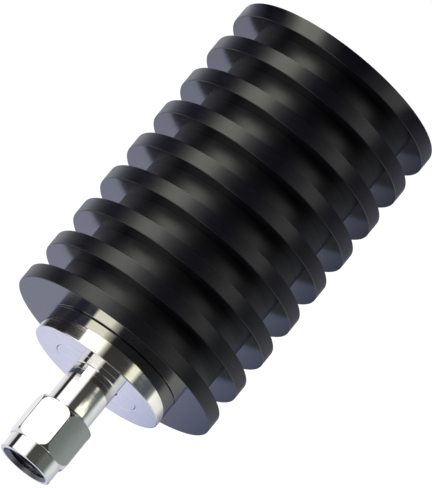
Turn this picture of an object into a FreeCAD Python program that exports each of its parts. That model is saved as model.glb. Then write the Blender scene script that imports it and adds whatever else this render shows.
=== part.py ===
import FreeCAD, Part
import math
import os

import Sketcher

# A coaxial terminator: a finned heat sink, a bright flange and a screw-on plug.
# It stands on the heat sink's plain rear end, with the plug pointing up.
# The origin is the middle of that end, Z is the axis of every turned piece, and lengths are in mm.

# Sizes: name, value and what it measures
SIZES = (
    ("fin_count", 9, "fins on the heat sink"),
    ("fin_radius", 15.5, "outer radius of a fin"),
    ("fin_thickness", 2.25, "thickness of a fin"),
    ("fin_pitch", 5.64, "distance from one fin to the next"),
    ("core_radius", 12.0, "radius of the core between the fins"),
    ("chamber_depth", 23.0, "depth of the chamber from the first fin's face"),
    ("spigot_wall", 0.5, "spigot's radius over the chamber's radius"),
    ("spigot_length", 5.0, "length of the flange's screwed spigot"),
    ("flange_radius", 9.9, "outer radius of the flange"),
    ("flange_thickness", 3.65, "thickness of the flange"),
    ("flange_edge", 0.15, "bevel on the flange's front rim"),
    ("shelf_gap", 0.05, "running gap between the shelf and the chamber's wall"),
    ("shelf_clearance", 0.5, "room between the shelf's end and the chamber's floor"),
    ("fit_gap", 0.02, "radial gap of a close fit"),
    ("base_radius", 6.35, "radius of the connector's base"),
    ("base_thickness", 2.0, "thickness of the connector's base"),
    ("tail_radius", 2.8, "radius of the connector's tail in the flange"),
    ("tail_length", 3.0, "length of the connector's tail"),
    ("neck_radius", 3.32, "radius of the neck"),
    ("neck_length", 6.13, "neck between the flange and the nut"),
    ("neck_edge", 0.15, "bevel on the neck's shoulder and ring at its root"),
    ("journal_radius", 2.75, "radius of the journal that the nut turns on"),
    ("journal_length", 3.0, "length of the journal"),
    ("line_radius", 2.05, "inner radius of the coaxial line"),
    ("ring_station", 1.35, "middle of the snap ring above the nut's rear face"),
    ("ring_thickness", 0.5, "thickness of the snap ring along the axis"),
    ("ring_wall", 0.5, "radial width of the snap ring"),
    ("ring_play", 0.1, "room round the snap ring in its grooves"),
    ("ring_opening", 35.0, "opening of the snap ring in degrees"),
    ("ferrule_radius", 2.3, "outer radius of the ferrule"),
    ("ferrule_seat", 0.7, "depth of the ferrule in the journal"),
    ("gasket_thickness", 0.8, "thickness of the soft sealing ring"),
    ("gasket_wall", 0.43, "radial width of the soft sealing ring"),
    ("conductor_radius", 0.635, "radius of the inner line in its insulators"),
    ("pin_radius", 0.455, "radius of the pin"),
    ("pin_reach", 1.9, "pin beyond the ferrule's face"),
    ("pin_tip_radius", 0.2, "radius of the pin's blunt tip"),
    ("pin_tip_length", 0.45, "length of the pin's tapered tip"),
    ("pin_tail", 7.5, "length of the centre pin behind the ferrule's face"),
    ("joint_radius", 0.35, "radius of the inner line's plug joint"),
    ("joint_length", 1.6, "length of the inner line's plug joint"),
    ("bead_split", 8.5, "length of the front insulator"),
    ("solder_radius", 0.5, "radius of the inner line's end over the tab"),
    ("solder_length", 4.3, "length of the inner line behind the spigot"),
    ("nut_flats", 8.0, "distance across the nut's flats"),
    ("nut_corner_share", 0.99, "turned corner over the full corner of the hexagon"),
    ("nut_turn", 8.0, "turn of the hexagon in degrees"),
    ("nut_length", 8.6, "length of the nut"),
    ("nut_end_gap", 0.1, "gap between the nut and the neck's shoulder"),
    ("nut_rear_radius", 3.75, "radius of the nut's flat rear face"),
    ("nut_rear_bevel", 1.0, "length of the turned bevel at the rear corners"),
    ("nut_front_bevel", 0.9, "length of the turned bevel at the front corners"),
    ("barrel_radius", 3.9, "radius of the nut's round barrel"),
    ("barrel_length", 2.3, "length of the nut's round barrel"),
    ("barrel_edge", 0.1, "bevel on the barrel's rim"),
    ("thread_radius", 2.86, "inner radius of the nut's thread"),
    ("mouth_radius", 3.4, "radius of the nut's mouth"),
    ("mouth_depth", 0.55, "depth of the bevel in the nut's mouth"),
    ("nut_running_gap", 0.05, "radial gap between the nut and its journal"),
    ("lip_length", 2.2, "length of the nut's bore on the journal"),
    ("relief_radius", 3.25, "radius of the room behind the nut's thread"),
    ("relief_length", 1.8, "length of the room behind the nut's thread"),
    ("reference_depth", 3.3, "ferrule's face below the nut's mouth"),
    ("plate_clearance", 0.485, "room between the plate's edges and the chamber's wall"),
    ("plate_length", 5.0, "length of the resistor's metal plate"),
    ("plate_thickness", 1.5, "thickness of the resistor's metal plate"),
    ("plate_corner", 0.6, "corner bevel of the resistor's metal plate"),
    ("plate_setback", 4.0, "plate behind the spigot"),
    ("foil_thickness", 0.1, "thickness of the foil under the plate"),
    ("substrate_width", 5.0, "width of the ceramic"),
    ("washer_clearance", 0.2, "gap between the ceramic and the spring washers"),
    ("substrate_thickness", 1.0, "thickness of the ceramic"),
    ("film_margin", 0.8, "bare ceramic beside the film"),
    ("film_thickness", 0.05, "thickness of the film and of its electrodes"),
    ("electrode_length", 0.9, "length of each electrode"),
    ("cover_inset", 0.4, "bare ceramic beside the cover"),
    ("cover_thickness", 0.8, "thickness of the ceramic cover"),
    ("cover_margin", 0.1, "film left bare at each end of the cover"),
    ("tab_width", 1.2, "width of the tab"),
    ("tab_thickness", 0.15, "thickness of the tab"),
    ("tab_length", 4.3, "length of the tab"),
    ("screw_margin", 2.3, "screw's axis from the plate's edge"),
    ("screw_radius", 1.0, "radius of a screw's shank"),
    ("screw_wall", 0.3, "wall left between a screw's hole and the shelf's round side"),
    ("screw_hole_room", 0.2, "room under a screw's tip"),
    ("plate_hole_gap", 0.1, "gap round a screw in the plate"),
    ("head_radius", 1.8, "radius of a screw's head"),
    ("head_height", 1.2, "height of a screw's head"),
    ("slot_width", 0.5, "width of a screw's slot"),
    ("slot_depth", 0.5, "depth of a screw's slot"),
    ("washer_thickness", 0.5, "thickness of a spring washer"),
    ("washer_opening", 14.0, "opening of a spring washer in degrees"),
)

FULL_TURN = 360.0
HEX_SIDES = 6
# The ring that cuts the flats reaches this many times the hexagon's corner radius
CUTTER_REACH = 1.5
# The photograph is taken from -Y, so the hexagon's turn is counted from there
NEAR_SIDE = -90.0


class Size:
    """A value read from the sheet or worked out from such values: its number and its expression."""

    def __init__(self, number, text):
        self.number = float(number)
        self.text = text

    def __add__(self, other):
        other = as_size(other)
        return Size(self.number + other.number, f"({self.text} + {other.text})")

    def __radd__(self, other):
        return as_size(other) + self

    def __sub__(self, other):
        other = as_size(other)
        return Size(self.number - other.number, f"({self.text} - {other.text})")

    def __rsub__(self, other):
        return as_size(other) - self

    def __mul__(self, other):
        other = as_size(other)
        return Size(self.number * other.number, f"({self.text} * {other.text})")

    def __rmul__(self, other):
        return as_size(other) * self

    def __truediv__(self, other):
        other = as_size(other)
        return Size(self.number / other.number, f"({self.text} / {other.text})")

    def __neg__(self):
        return Size(-self.number, f"(-{self.text})")


def as_size(thing):
    return thing if isinstance(thing, Size) else Size(thing, repr(float(thing)))


def cosine(angle):
    angle = as_size(angle)
    return Size(math.cos(math.radians(angle.number)), f"cos({angle.text} * 1 deg)")


def sine(angle):
    angle = as_size(angle)
    return Size(math.sin(math.radians(angle.number)), f"sin({angle.text} * 1 deg)")


def chord_half(radius, offset):
    """Half the width of a circle at a given distance from its centre."""
    return Size(math.sqrt(radius.number ** 2 - offset.number ** 2),
                f"sqrt({radius.text} * {radius.text} - {offset.text} * {offset.text})")


def hypotenuse(width, height):
    return Size(math.hypot(width.number, height.number),
                f"sqrt({width.text} * {width.text} + {height.text} * {height.text})")


# The document and its sheet
doc = FreeCAD.newDocument("coaxial_terminator")
sheet = doc.addObject("Spreadsheet::Sheet", "Sizes")
for row, (name, number, meaning) in enumerate(SIZES, start=1):
    sheet.set(f"A{row}", meaning)
    sheet.set(f"B{row}", str(number))
    sheet.setAlias(f"B{row}", name)
doc.recompute()


NUMBERS = {row[0]: row[1] for row in SIZES}


def sized(name):
    return Size(NUMBERS[name], f"Sizes.{name}")


# Levels and radii that several pieces share
fit_gap = sized("fit_gap")
sink_top = sized("fin_pitch") * (sized("fin_count") - 1) + sized("fin_thickness")
chamber_floor = sink_top - sized("chamber_depth")
spigot_rear = sink_top - sized("spigot_length")
flange_face = sink_top + sized("flange_thickness")
base_rear = flange_face - sized("base_thickness")
tail_rear = base_rear - sized("tail_length")
neck_top = flange_face + sized("neck_length")
journal_top = neck_top + sized("journal_length")
nut_rear = neck_top + sized("nut_end_gap")
nut_front = nut_rear + sized("nut_length")
ferrule_face = nut_front - sized("reference_depth")
ferrule_rear = journal_top - sized("ferrule_seat")
bead_joint = ferrule_face - sized("bead_split")
ring_middle = nut_rear + sized("ring_station")
groove_half = sized("ring_thickness") / 2 + sized("ring_play")
journal_radius = sized("journal_radius")
lip_radius = journal_radius + sized("nut_running_gap")
ring_inner = (journal_radius + lip_radius) / 2 - sized("ring_wall") / 2
ring_outer = ring_inner + sized("ring_wall")
shelf_end = chamber_floor + sized("shelf_clearance")

# Heights across the resistor, measured from the axis down to the shelf
tab_top = -sized("solder_radius")
film_top = tab_top - sized("tab_thickness")
ceramic_top = film_top - sized("film_thickness")
plate_top = ceramic_top - sized("substrate_thickness")
foil_top = plate_top - sized("plate_thickness")
shelf_level = foil_top - sized("foil_thickness")
plate_front = spigot_rear - sized("plate_setback")
plate_rear = plate_front - sized("plate_length")
screw_station = (plate_front + plate_rear) / 2

# Half widths across the resistor, from the ceramic out to the plate's edge
substrate_half = sized("substrate_width") / 2
film_half = substrate_half - sized("film_margin")
cover_half = substrate_half - sized("cover_inset")
screw_place = substrate_half + sized("washer_clearance") + sized("head_radius")
plate_half = screw_place + sized("screw_margin")

# The chamber clears the plate's lower edges, and the spigot and the shelf follow the chamber
chamber_radius = hypotenuse(plate_half, foil_top) + sized("plate_clearance")
spigot_radius = chamber_radius + sized("spigot_wall")
shelf_radius = chamber_radius - sized("shelf_gap")

# Heights of the screws
screw_seat = plate_top + sized("washer_thickness")
hole_bottom = sized("screw_wall") - chord_half(shelf_radius, screw_place + sized("screw_radius"))
screw_tip = hole_bottom + sized("screw_hole_room")


# Tools of the document
def new_body(label):
    body = doc.addObject("PartDesign::Body", label)
    body.Label = label
    return body


def new_sketch(body, role, name):
    sketch = body.newObject("Sketcher::SketchObject", f"{body.Name}_{name}")
    origin_plane = next(feature for feature in body.Origin.OriginFeatures if feature.Role == role)
    sketch.AttachmentSupport = [(origin_plane, "")]
    sketch.MapMode = "FlatFace"
    return sketch


def hold(sketch, geometry, point, x, y):
    """Holds one point of the sketch at x and y from its origin."""
    for kind, size in (("DistanceX", x), ("DistanceY", y)):
        constraint = sketch.addConstraint(Sketcher.Constraint(kind, -1, 1, geometry, point, size.number))
        sketch.setExpression(f"Constraints[{constraint}]", size.text)


def outline(sketch, points):
    """A closed run of straight lines through the points."""
    points = [(as_size(x), as_size(y)) for x, y in points]
    corners = [FreeCAD.Vector(x.number, y.number, 0) for x, y in points]
    first = sketch.GeometryCount
    count = len(points)
    for start, end in zip(corners, corners[1:] + corners[:1]):
        sketch.addGeometry(Part.LineSegment(start, end), False)
    for index in range(count):
        following = first + (index + 1) % count
        sketch.addConstraint(Sketcher.Constraint("Coincident", first + index, 2, following, 1))
    for index, (x, y) in enumerate(points):
        hold(sketch, first + index, 1, x, y)


def circle(sketch, x, y, radius):
    x, y = as_size(x), as_size(y)
    centre = FreeCAD.Vector(x.number, y.number, 0)
    geometry = sketch.addGeometry(Part.Circle(centre, FreeCAD.Vector(0, 0, 1), radius.number), False)
    constraint = sketch.addConstraint(Sketcher.Constraint("Radius", geometry, radius.number))
    sketch.setExpression(f"Constraints[{constraint}]", radius.text)
    hold(sketch, geometry, 3, x, y)


def turn(body, name, points, angle=None):
    """Turns an outline of radii and heights about the body's Z axis."""
    sketch = new_sketch(body, "XZ_Plane", f"{name}_outline")
    outline(sketch, points)
    feature = body.newObject("PartDesign::Revolution", f"{body.Name}_{name}")
    feature.Profile = sketch
    feature.ReferenceAxis = (sketch, ["V_Axis"])
    feature.Angle = FULL_TURN
    if angle is not None:
        feature.setExpression("Angle", angle.text)
    return feature


def extrude(body, kind, name, sketch, length, reverse=False):
    feature = body.newObject(f"PartDesign::{kind}", f"{body.Name}_{name}")
    feature.Profile = sketch
    feature.Length = length.number
    feature.setExpression("Length", length.text)
    feature.Reversed = reverse
    return feature


def raise_sketch(sketch, level):
    """Lifts a sketch off its plane, along the plane's own normal."""
    sketch.AttachmentOffset = FreeCAD.Placement(FreeCAD.Vector(0, 0, level.number), FreeCAD.Rotation())
    sketch.setExpression("AttachmentOffset.Base.z", level.text)


def place(piece, x, y, z, rotation=FreeCAD.Rotation()):
    sizes = [as_size(size) for size in (x, y, z)]
    piece.Placement = FreeCAD.Placement(FreeCAD.Vector(*[size.number for size in sizes]), rotation)
    for axis, size in zip("xyz", sizes):
        piece.setExpression(f"Placement.Base.{axis}", size.text)


def block(label, half_width, top, thickness, rear, front):
    """A flat block: centred on X, under the height top, from the level rear to the level front."""
    piece = doc.addObject("Part::Box", label)
    piece.Label = label
    for property_name, size in (("Length", half_width * 2), ("Width", thickness), ("Height", front - rear)):
        piece.setExpression(property_name, size.text)
    place(piece, -half_width, top - thickness, rear)
    return piece


# The heat sink: a round core with the chamber in its front end, and a row of equal fins
def make_heat_sink():
    body = new_body("heat_sink")
    core_radius = sized("core_radius")
    thread_radius = spigot_radius + fit_gap
    turn(body, "core", [
        (0, 0),
        (core_radius, 0),
        (core_radius, sink_top),
        (thread_radius, sink_top),
        (thread_radius, spigot_rear),
        (chamber_radius, spigot_rear),
        (chamber_radius, chamber_floor),
        (0, chamber_floor),
    ])
    rim = sized("fin_radius")
    root = (core_radius + chamber_radius) / 2
    fin = turn(body, "fin", [
        (root, 0),
        (rim, 0),
        (rim, sized("fin_thickness")),
        (root, sized("fin_thickness")),
    ])
    fins = body.newObject("PartDesign::LinearPattern", "heat_sink_fins")
    fins.Originals = [fin]
    fins.Direction = (fin.Profile[0], ["V_Axis"])
    fins.setExpression("Length", (sized("fin_pitch") * (sized("fin_count") - 1)).text)
    fins.setExpression("Occurrences", sized("fin_count").text)
    body.Tip = fins
    return body


# The load body: flange, screwed spigot and the half-round shelf that carries the resistor
def make_load_body():
    body = new_body("load_body")
    edge = sized("flange_edge")
    flange_radius = sized("flange_radius")
    base_seat = sized("base_radius") + fit_gap
    tail_seat = sized("tail_radius") + fit_gap
    turn(body, "blank", [
        (0, shelf_end),
        (shelf_radius, shelf_end),
        (shelf_radius, spigot_rear),
        (spigot_radius, spigot_rear),
        (spigot_radius, sink_top),
        (flange_radius, sink_top),
        (flange_radius, flange_face - edge),
        (flange_radius - edge, flange_face),
        (base_seat, flange_face),
        (base_seat, base_rear),
        (tail_seat, base_rear),
        (tail_seat, tail_rear),
        (sized("line_radius"), tail_rear),
        (sized("line_radius"), spigot_rear),
        (0, spigot_rear),
    ])
    half = new_sketch(body, "XY_Plane", "shelf_outline")
    raise_sketch(half, spigot_rear)
    outline(half, [
        (-chamber_radius, shelf_level),
        (chamber_radius, shelf_level),
        (chamber_radius, chamber_radius),
        (-chamber_radius, chamber_radius),
    ])
    extrude(body, "Pocket", "shelf", half, spigot_rear - shelf_end)
    holes = new_sketch(body, "XZ_Plane", "holes_outline")
    raise_sketch(holes, -shelf_level)
    hole_radius = sized("screw_radius") + fit_gap
    for side in (-1, 1):
        circle(holes, screw_place * side, screw_station, hole_radius)
    extrude(body, "Pocket", "holes", holes, shelf_level - hole_bottom, reverse=True)
    return body


# The connector body: base let in flush with the flange, neck, journal and the snap ring's groove
def make_connector_body():
    body = new_body("connector_body")
    neck_edge = sized("neck_edge")
    neck_radius = sized("neck_radius")
    base_radius = sized("base_radius")
    tail_radius = sized("tail_radius")
    line_radius = sized("line_radius")
    groove_radius = ring_inner - sized("ring_play")
    ferrule_seat = sized("ferrule_radius") + fit_gap
    turn(body, "blank", [
        (line_radius, tail_rear),
        (tail_radius, tail_rear),
        (tail_radius, base_rear),
        (base_radius, base_rear),
        (base_radius, flange_face),
        (neck_radius + neck_edge, flange_face),
        (neck_radius, flange_face + neck_edge),
        (neck_radius, neck_top - neck_edge),
        (neck_radius - neck_edge, neck_top),
        (journal_radius, neck_top),
        (journal_radius, ring_middle - groove_half),
        (groove_radius, ring_middle - groove_half),
        (groove_radius, ring_middle + groove_half),
        (journal_radius, ring_middle + groove_half),
        (journal_radius, journal_top),
        (ferrule_seat, journal_top),
        (ferrule_seat, ferrule_rear),
        (line_radius, ferrule_rear),
    ])
    return body


# The nut: a turned blank with bevelled corners, six flats, and its bore with the snap ring's groove
def make_coupling_nut():
    body = new_body("coupling_nut")
    half_flats = sized("nut_flats") / 2
    full_corner = half_flats / cosine(FULL_TURN / HEX_SIDES / 2)
    corner = full_corner * sized("nut_corner_share")
    barrel_start = nut_front - sized("barrel_length")
    lip_top = nut_rear + sized("lip_length")
    relief_top = lip_top + sized("relief_length")
    groove_radius = ring_outer + sized("ring_play")
    barrel_radius = sized("barrel_radius")
    barrel_edge = sized("barrel_edge")
    relief_radius = sized("relief_radius")
    thread_radius = sized("thread_radius")
    turn(body, "blank", [
        (lip_radius, nut_rear),
        (sized("nut_rear_radius"), nut_rear),
        (corner, nut_rear + sized("nut_rear_bevel")),
        (corner, barrel_start - sized("nut_front_bevel")),
        (barrel_radius, barrel_start),
        (barrel_radius, nut_front - barrel_edge),
        (barrel_radius - barrel_edge, nut_front),
        (sized("mouth_radius"), nut_front),
        (thread_radius, nut_front - sized("mouth_depth")),
        (thread_radius, relief_top),
        (relief_radius, relief_top),
        (relief_radius, lip_top),
        (lip_radius, lip_top),
        (lip_radius, ring_middle + groove_half),
        (groove_radius, ring_middle + groove_half),
        (groove_radius, ring_middle - groove_half),
        (lip_radius, ring_middle - groove_half),
    ])
    flats = new_sketch(body, "XY_Plane", "flats_outline")
    raise_sketch(flats, barrel_start)
    circle(flats, 0, 0, full_corner * CUTTER_REACH)
    turns = [NEAR_SIDE - sized("nut_turn") + FULL_TURN / HEX_SIDES * side for side in range(HEX_SIDES)]
    outline(flats, [(full_corner * cosine(angle), full_corner * sine(angle)) for angle in turns])
    extrude(body, "Pocket", "flats", flats, barrel_start - nut_rear)
    return body


def make_snap_ring():
    body = new_body("snap_ring")
    half = sized("ring_thickness") / 2
    turn(body, "ring", [
        (ring_inner, ring_middle - half),
        (ring_outer, ring_middle - half),
        (ring_outer, ring_middle + half),
        (ring_inner, ring_middle + half),
    ], angle=FULL_TURN - sized("ring_opening"))
    return body


def make_sleeve(label, inner, outer, rear, front):
    """A plain turned sleeve."""
    turn(new_body(label), "sleeve", [(inner, rear), (outer, rear), (outer, front), (inner, front)])


def make_line():
    """The ferrule, its soft ring, the two insulators and the inner line."""
    ferrule_radius = sized("ferrule_radius")
    line_radius = sized("line_radius")
    conductor_radius = sized("conductor_radius")
    gasket_inner = ferrule_radius + fit_gap
    bead_inner = conductor_radius + fit_gap
    bead_outer = line_radius - fit_gap
    make_sleeve("outer_ferrule", line_radius, ferrule_radius, ferrule_rear, ferrule_face)
    make_sleeve("sealing_gasket", gasket_inner, gasket_inner + sized("gasket_wall"),
                journal_top, journal_top + sized("gasket_thickness"))
    make_sleeve("front_insulator", bead_inner, bead_outer, bead_joint, ferrule_face)
    make_sleeve("rear_insulator", bead_inner, bead_outer, spigot_rear, bead_joint)

    pin_rear = ferrule_face - sized("pin_tail")
    pin_end = ferrule_face + sized("pin_reach")
    pin_radius = sized("pin_radius")
    joint_radius = sized("joint_radius")
    joint_top = pin_rear + sized("joint_length")
    socket_radius = joint_radius + fit_gap
    turn(new_body("centre_pin"), "pin", [
        (socket_radius, pin_rear),
        (conductor_radius, pin_rear),
        (conductor_radius, ferrule_face),
        (pin_radius, ferrule_face),
        (pin_radius, pin_end - sized("pin_tip_length")),
        (sized("pin_tip_radius"), pin_end),
        (0, pin_end),
        (0, joint_top + fit_gap),
        (socket_radius, joint_top + fit_gap),
    ])
    solder_end = spigot_rear - sized("solder_length")
    solder_radius = sized("solder_radius")
    turn(new_body("inner_conductor"), "rod", [
        (0, solder_end),
        (solder_radius, solder_end),
        (solder_radius, spigot_rear),
        (conductor_radius, spigot_rear),
        (conductor_radius, pin_rear),
        (joint_radius, pin_rear),
        (joint_radius, joint_top),
        (0, joint_top),
    ])


def make_plate(label, top, thickness):
    """A flat plate with bevelled corners and two screw holes; the foil under it has the same outline."""
    body = new_body(label)
    sketch = new_sketch(body, "XZ_Plane", "plan")
    raise_sketch(sketch, -top)
    corner = sized("plate_corner")
    outline(sketch, [
        (-plate_half + corner, plate_rear),
        (plate_half - corner, plate_rear),
        (plate_half, plate_rear + corner),
        (plate_half, plate_front - corner),
        (plate_half - corner, plate_front),
        (-plate_half + corner, plate_front),
        (-plate_half, plate_front - corner),
        (-plate_half, plate_rear + corner),
    ])
    hole_radius = sized("screw_radius") + sized("plate_hole_gap")
    for side in (-1, 1):
        circle(sketch, screw_place * side, screw_station, hole_radius)
    extrude(body, "Pad", "sheet", sketch, thickness)


def make_resistor():
    """The load resistor: plate, foil, ceramic, film with its two electrodes, cover and tab."""
    make_plate("resistor_plate", plate_top, sized("plate_thickness"))
    make_plate("thermal_foil", foil_top, sized("foil_thickness"))
    film_thickness = sized("film_thickness")
    film_front = plate_front - sized("electrode_length")
    film_rear = plate_rear + sized("electrode_length")
    margin = sized("cover_margin")
    block("resistor_substrate", substrate_half, ceramic_top, sized("substrate_thickness"),
          plate_rear, plate_front)
    block("resistor_film", film_half, film_top, film_thickness, film_rear, film_front)
    block("input_electrode", film_half, film_top, film_thickness, film_front, plate_front)
    block("ground_electrode", film_half, film_top, film_thickness, plate_rear, film_rear)
    cover_thickness = sized("cover_thickness")
    block("resistor_cover", cover_half, film_top + cover_thickness, cover_thickness,
          film_rear + margin, film_front - margin)
    block("input_tab", sized("tab_width") / 2, tab_top, sized("tab_thickness"),
          film_front, film_front + sized("tab_length"))


# The plate's screws and their spring washers stand along Y, heads up
HEADS_UP = FreeCAD.Rotation(FreeCAD.Vector(1, 0, 0), -90)


def make_screw(side, name):
    body = new_body(f"plate_screw_{name}")
    head_radius = sized("head_radius")
    head_height = sized("head_height")
    shank = sized("screw_radius")
    turn(body, "blank", [
        (0, screw_tip - screw_seat),
        (shank, screw_tip - screw_seat),
        (shank, 0),
        (head_radius, 0),
        (head_radius, head_height),
        (0, head_height),
    ])
    slot = new_sketch(body, "XY_Plane", "slot_plan")
    raise_sketch(slot, head_height)
    half_slot = sized("slot_width") / 2
    outline(slot, [
        (-head_radius, -half_slot),
        (head_radius, -half_slot),
        (head_radius, half_slot),
        (-head_radius, half_slot),
    ])
    extrude(body, "Pocket", "slot", slot, sized("slot_depth"))
    place(body, screw_place * side, screw_seat, screw_station, HEADS_UP)

    washer = new_body(f"screw_washer_{name}")
    hole = shank + sized("plate_hole_gap")
    turn(washer, "ring", [
        (hole, 0),
        (head_radius, 0),
        (head_radius, sized("washer_thickness")),
        (hole, sized("washer_thickness")),
    ], angle=FULL_TURN - sized("washer_opening"))
    place(washer, screw_place * side, plate_top, screw_station, HEADS_UP)


def pieces():
    kinds = ("PartDesign::Body", "Part::Box")
    return [piece for piece in doc.Objects if piece.TypeId in kinds]


def check_pieces():
    for item in doc.Objects:
        if "Invalid" in item.State or "Error" in item.State:
            raise RuntimeError(f"{item.Name} failed: {item.State}")
    for piece in pieces():
        shape = piece.Shape
        if shape.isNull() or not shape.isValid() or len(shape.Solids) != 1:
            raise RuntimeError(f"{piece.Label} is not one sound solid")


make_heat_sink()
make_load_body()
make_connector_body()
make_coupling_nut()
make_snap_ring()
make_line()
make_resistor()
make_screw(-1, "left")
make_screw(1, "right")
doc.recompute()
check_pieces()

os.makedirs("parts", exist_ok=True)
for piece in pieces():
    piece.Shape.exportStep(f"parts/{piece.Label}.step")
    box = piece.Shape.BoundBox
    print(f"{piece.Label}: {piece.Shape.Volume:.3f} mm3, {box.ZMin:.2f} to {box.ZMax:.2f}")
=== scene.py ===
import math

import bmesh
import bpy
import numpy as np
from bpy.props import FloatProperty, FloatVectorProperty, IntProperty, PointerProperty
from mathutils import Matrix, Vector


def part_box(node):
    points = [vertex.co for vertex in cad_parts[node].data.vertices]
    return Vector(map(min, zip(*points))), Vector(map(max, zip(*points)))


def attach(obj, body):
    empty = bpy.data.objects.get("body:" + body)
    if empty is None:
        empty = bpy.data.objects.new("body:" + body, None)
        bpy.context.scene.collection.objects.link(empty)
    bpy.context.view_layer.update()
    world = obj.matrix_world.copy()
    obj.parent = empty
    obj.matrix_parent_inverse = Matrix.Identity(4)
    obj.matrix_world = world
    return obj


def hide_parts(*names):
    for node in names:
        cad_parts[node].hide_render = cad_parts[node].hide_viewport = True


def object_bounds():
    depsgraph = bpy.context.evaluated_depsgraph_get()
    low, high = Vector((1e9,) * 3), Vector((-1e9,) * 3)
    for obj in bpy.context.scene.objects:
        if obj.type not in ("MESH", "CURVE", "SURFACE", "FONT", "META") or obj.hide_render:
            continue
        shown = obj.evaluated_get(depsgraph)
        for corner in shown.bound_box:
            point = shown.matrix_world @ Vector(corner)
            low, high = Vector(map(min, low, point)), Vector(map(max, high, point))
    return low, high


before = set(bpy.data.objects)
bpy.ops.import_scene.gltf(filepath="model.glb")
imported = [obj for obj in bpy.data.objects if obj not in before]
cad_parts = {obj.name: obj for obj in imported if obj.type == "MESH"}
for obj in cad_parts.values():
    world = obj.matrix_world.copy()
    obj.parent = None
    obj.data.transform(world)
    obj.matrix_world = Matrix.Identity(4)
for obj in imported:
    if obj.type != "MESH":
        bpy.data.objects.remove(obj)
cad_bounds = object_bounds()

bl_info = {
    "name": "Coaxial Terminator",
    "version": (1, 0, 0),
    "blender": (4, 5, 0),
    "location": "View3D > Sidebar > Terminator",
    "description": "Builds the finish of a finned coaxial terminator around its packed solids",
    "category": "Mesh",
}

MM = 0.001
FULL_TURN = 2 * math.pi
HEX_SIDES = 6

# Points closer than this are one point
WELD = 1e-7

# Two faces that meet at more than this angle keep a sharp edge between them
SHARP_ANGLE = math.radians(35)

# Distance from an arc to the point beside it, over the arc's radius
SUPPORT = 0.3

# Places of a rounded bevel's rows. The last step leaves room for the flat's edge
BEVEL_STEPS = (0, 0.16, 0.32, 0.48, 0.64, 1)

# Angles of the narrow strips at the ends of the nut's flats, and of the turned lands between them
FLAT_STRIP = 0.006
LAND_STRIP = 0.003

# Width of the thread's flat crest and flat root, each as a share of the pitch
THREAD_FLAT = 0.1

# The camera looks along +Y, so azimuths on the stage are counted from -Y towards +X
NEAR_SIDE = -math.pi / 2


def length(name, millimetres, description):
    return FloatProperty(name=name, description=description, default=millimetres * MM,
                         unit="LENGTH", subtype="DISTANCE", precision=5)


def angle(name, degrees, description):
    return FloatProperty(name=name, description=description, default=math.radians(degrees),
                         unit="ROTATION", subtype="ANGLE")


def tint(name, colour, description):
    return FloatVectorProperty(name=name, description=description, default=colour,
                               size=3, subtype="COLOR", min=0.0, max=1.0)


def share(name, value, description):
    return FloatProperty(name=name, description=description, default=value, min=0.0, max=1.0)


def level(name, value, description):
    return FloatProperty(name=name, description=description, default=value, min=0.0)


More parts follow.
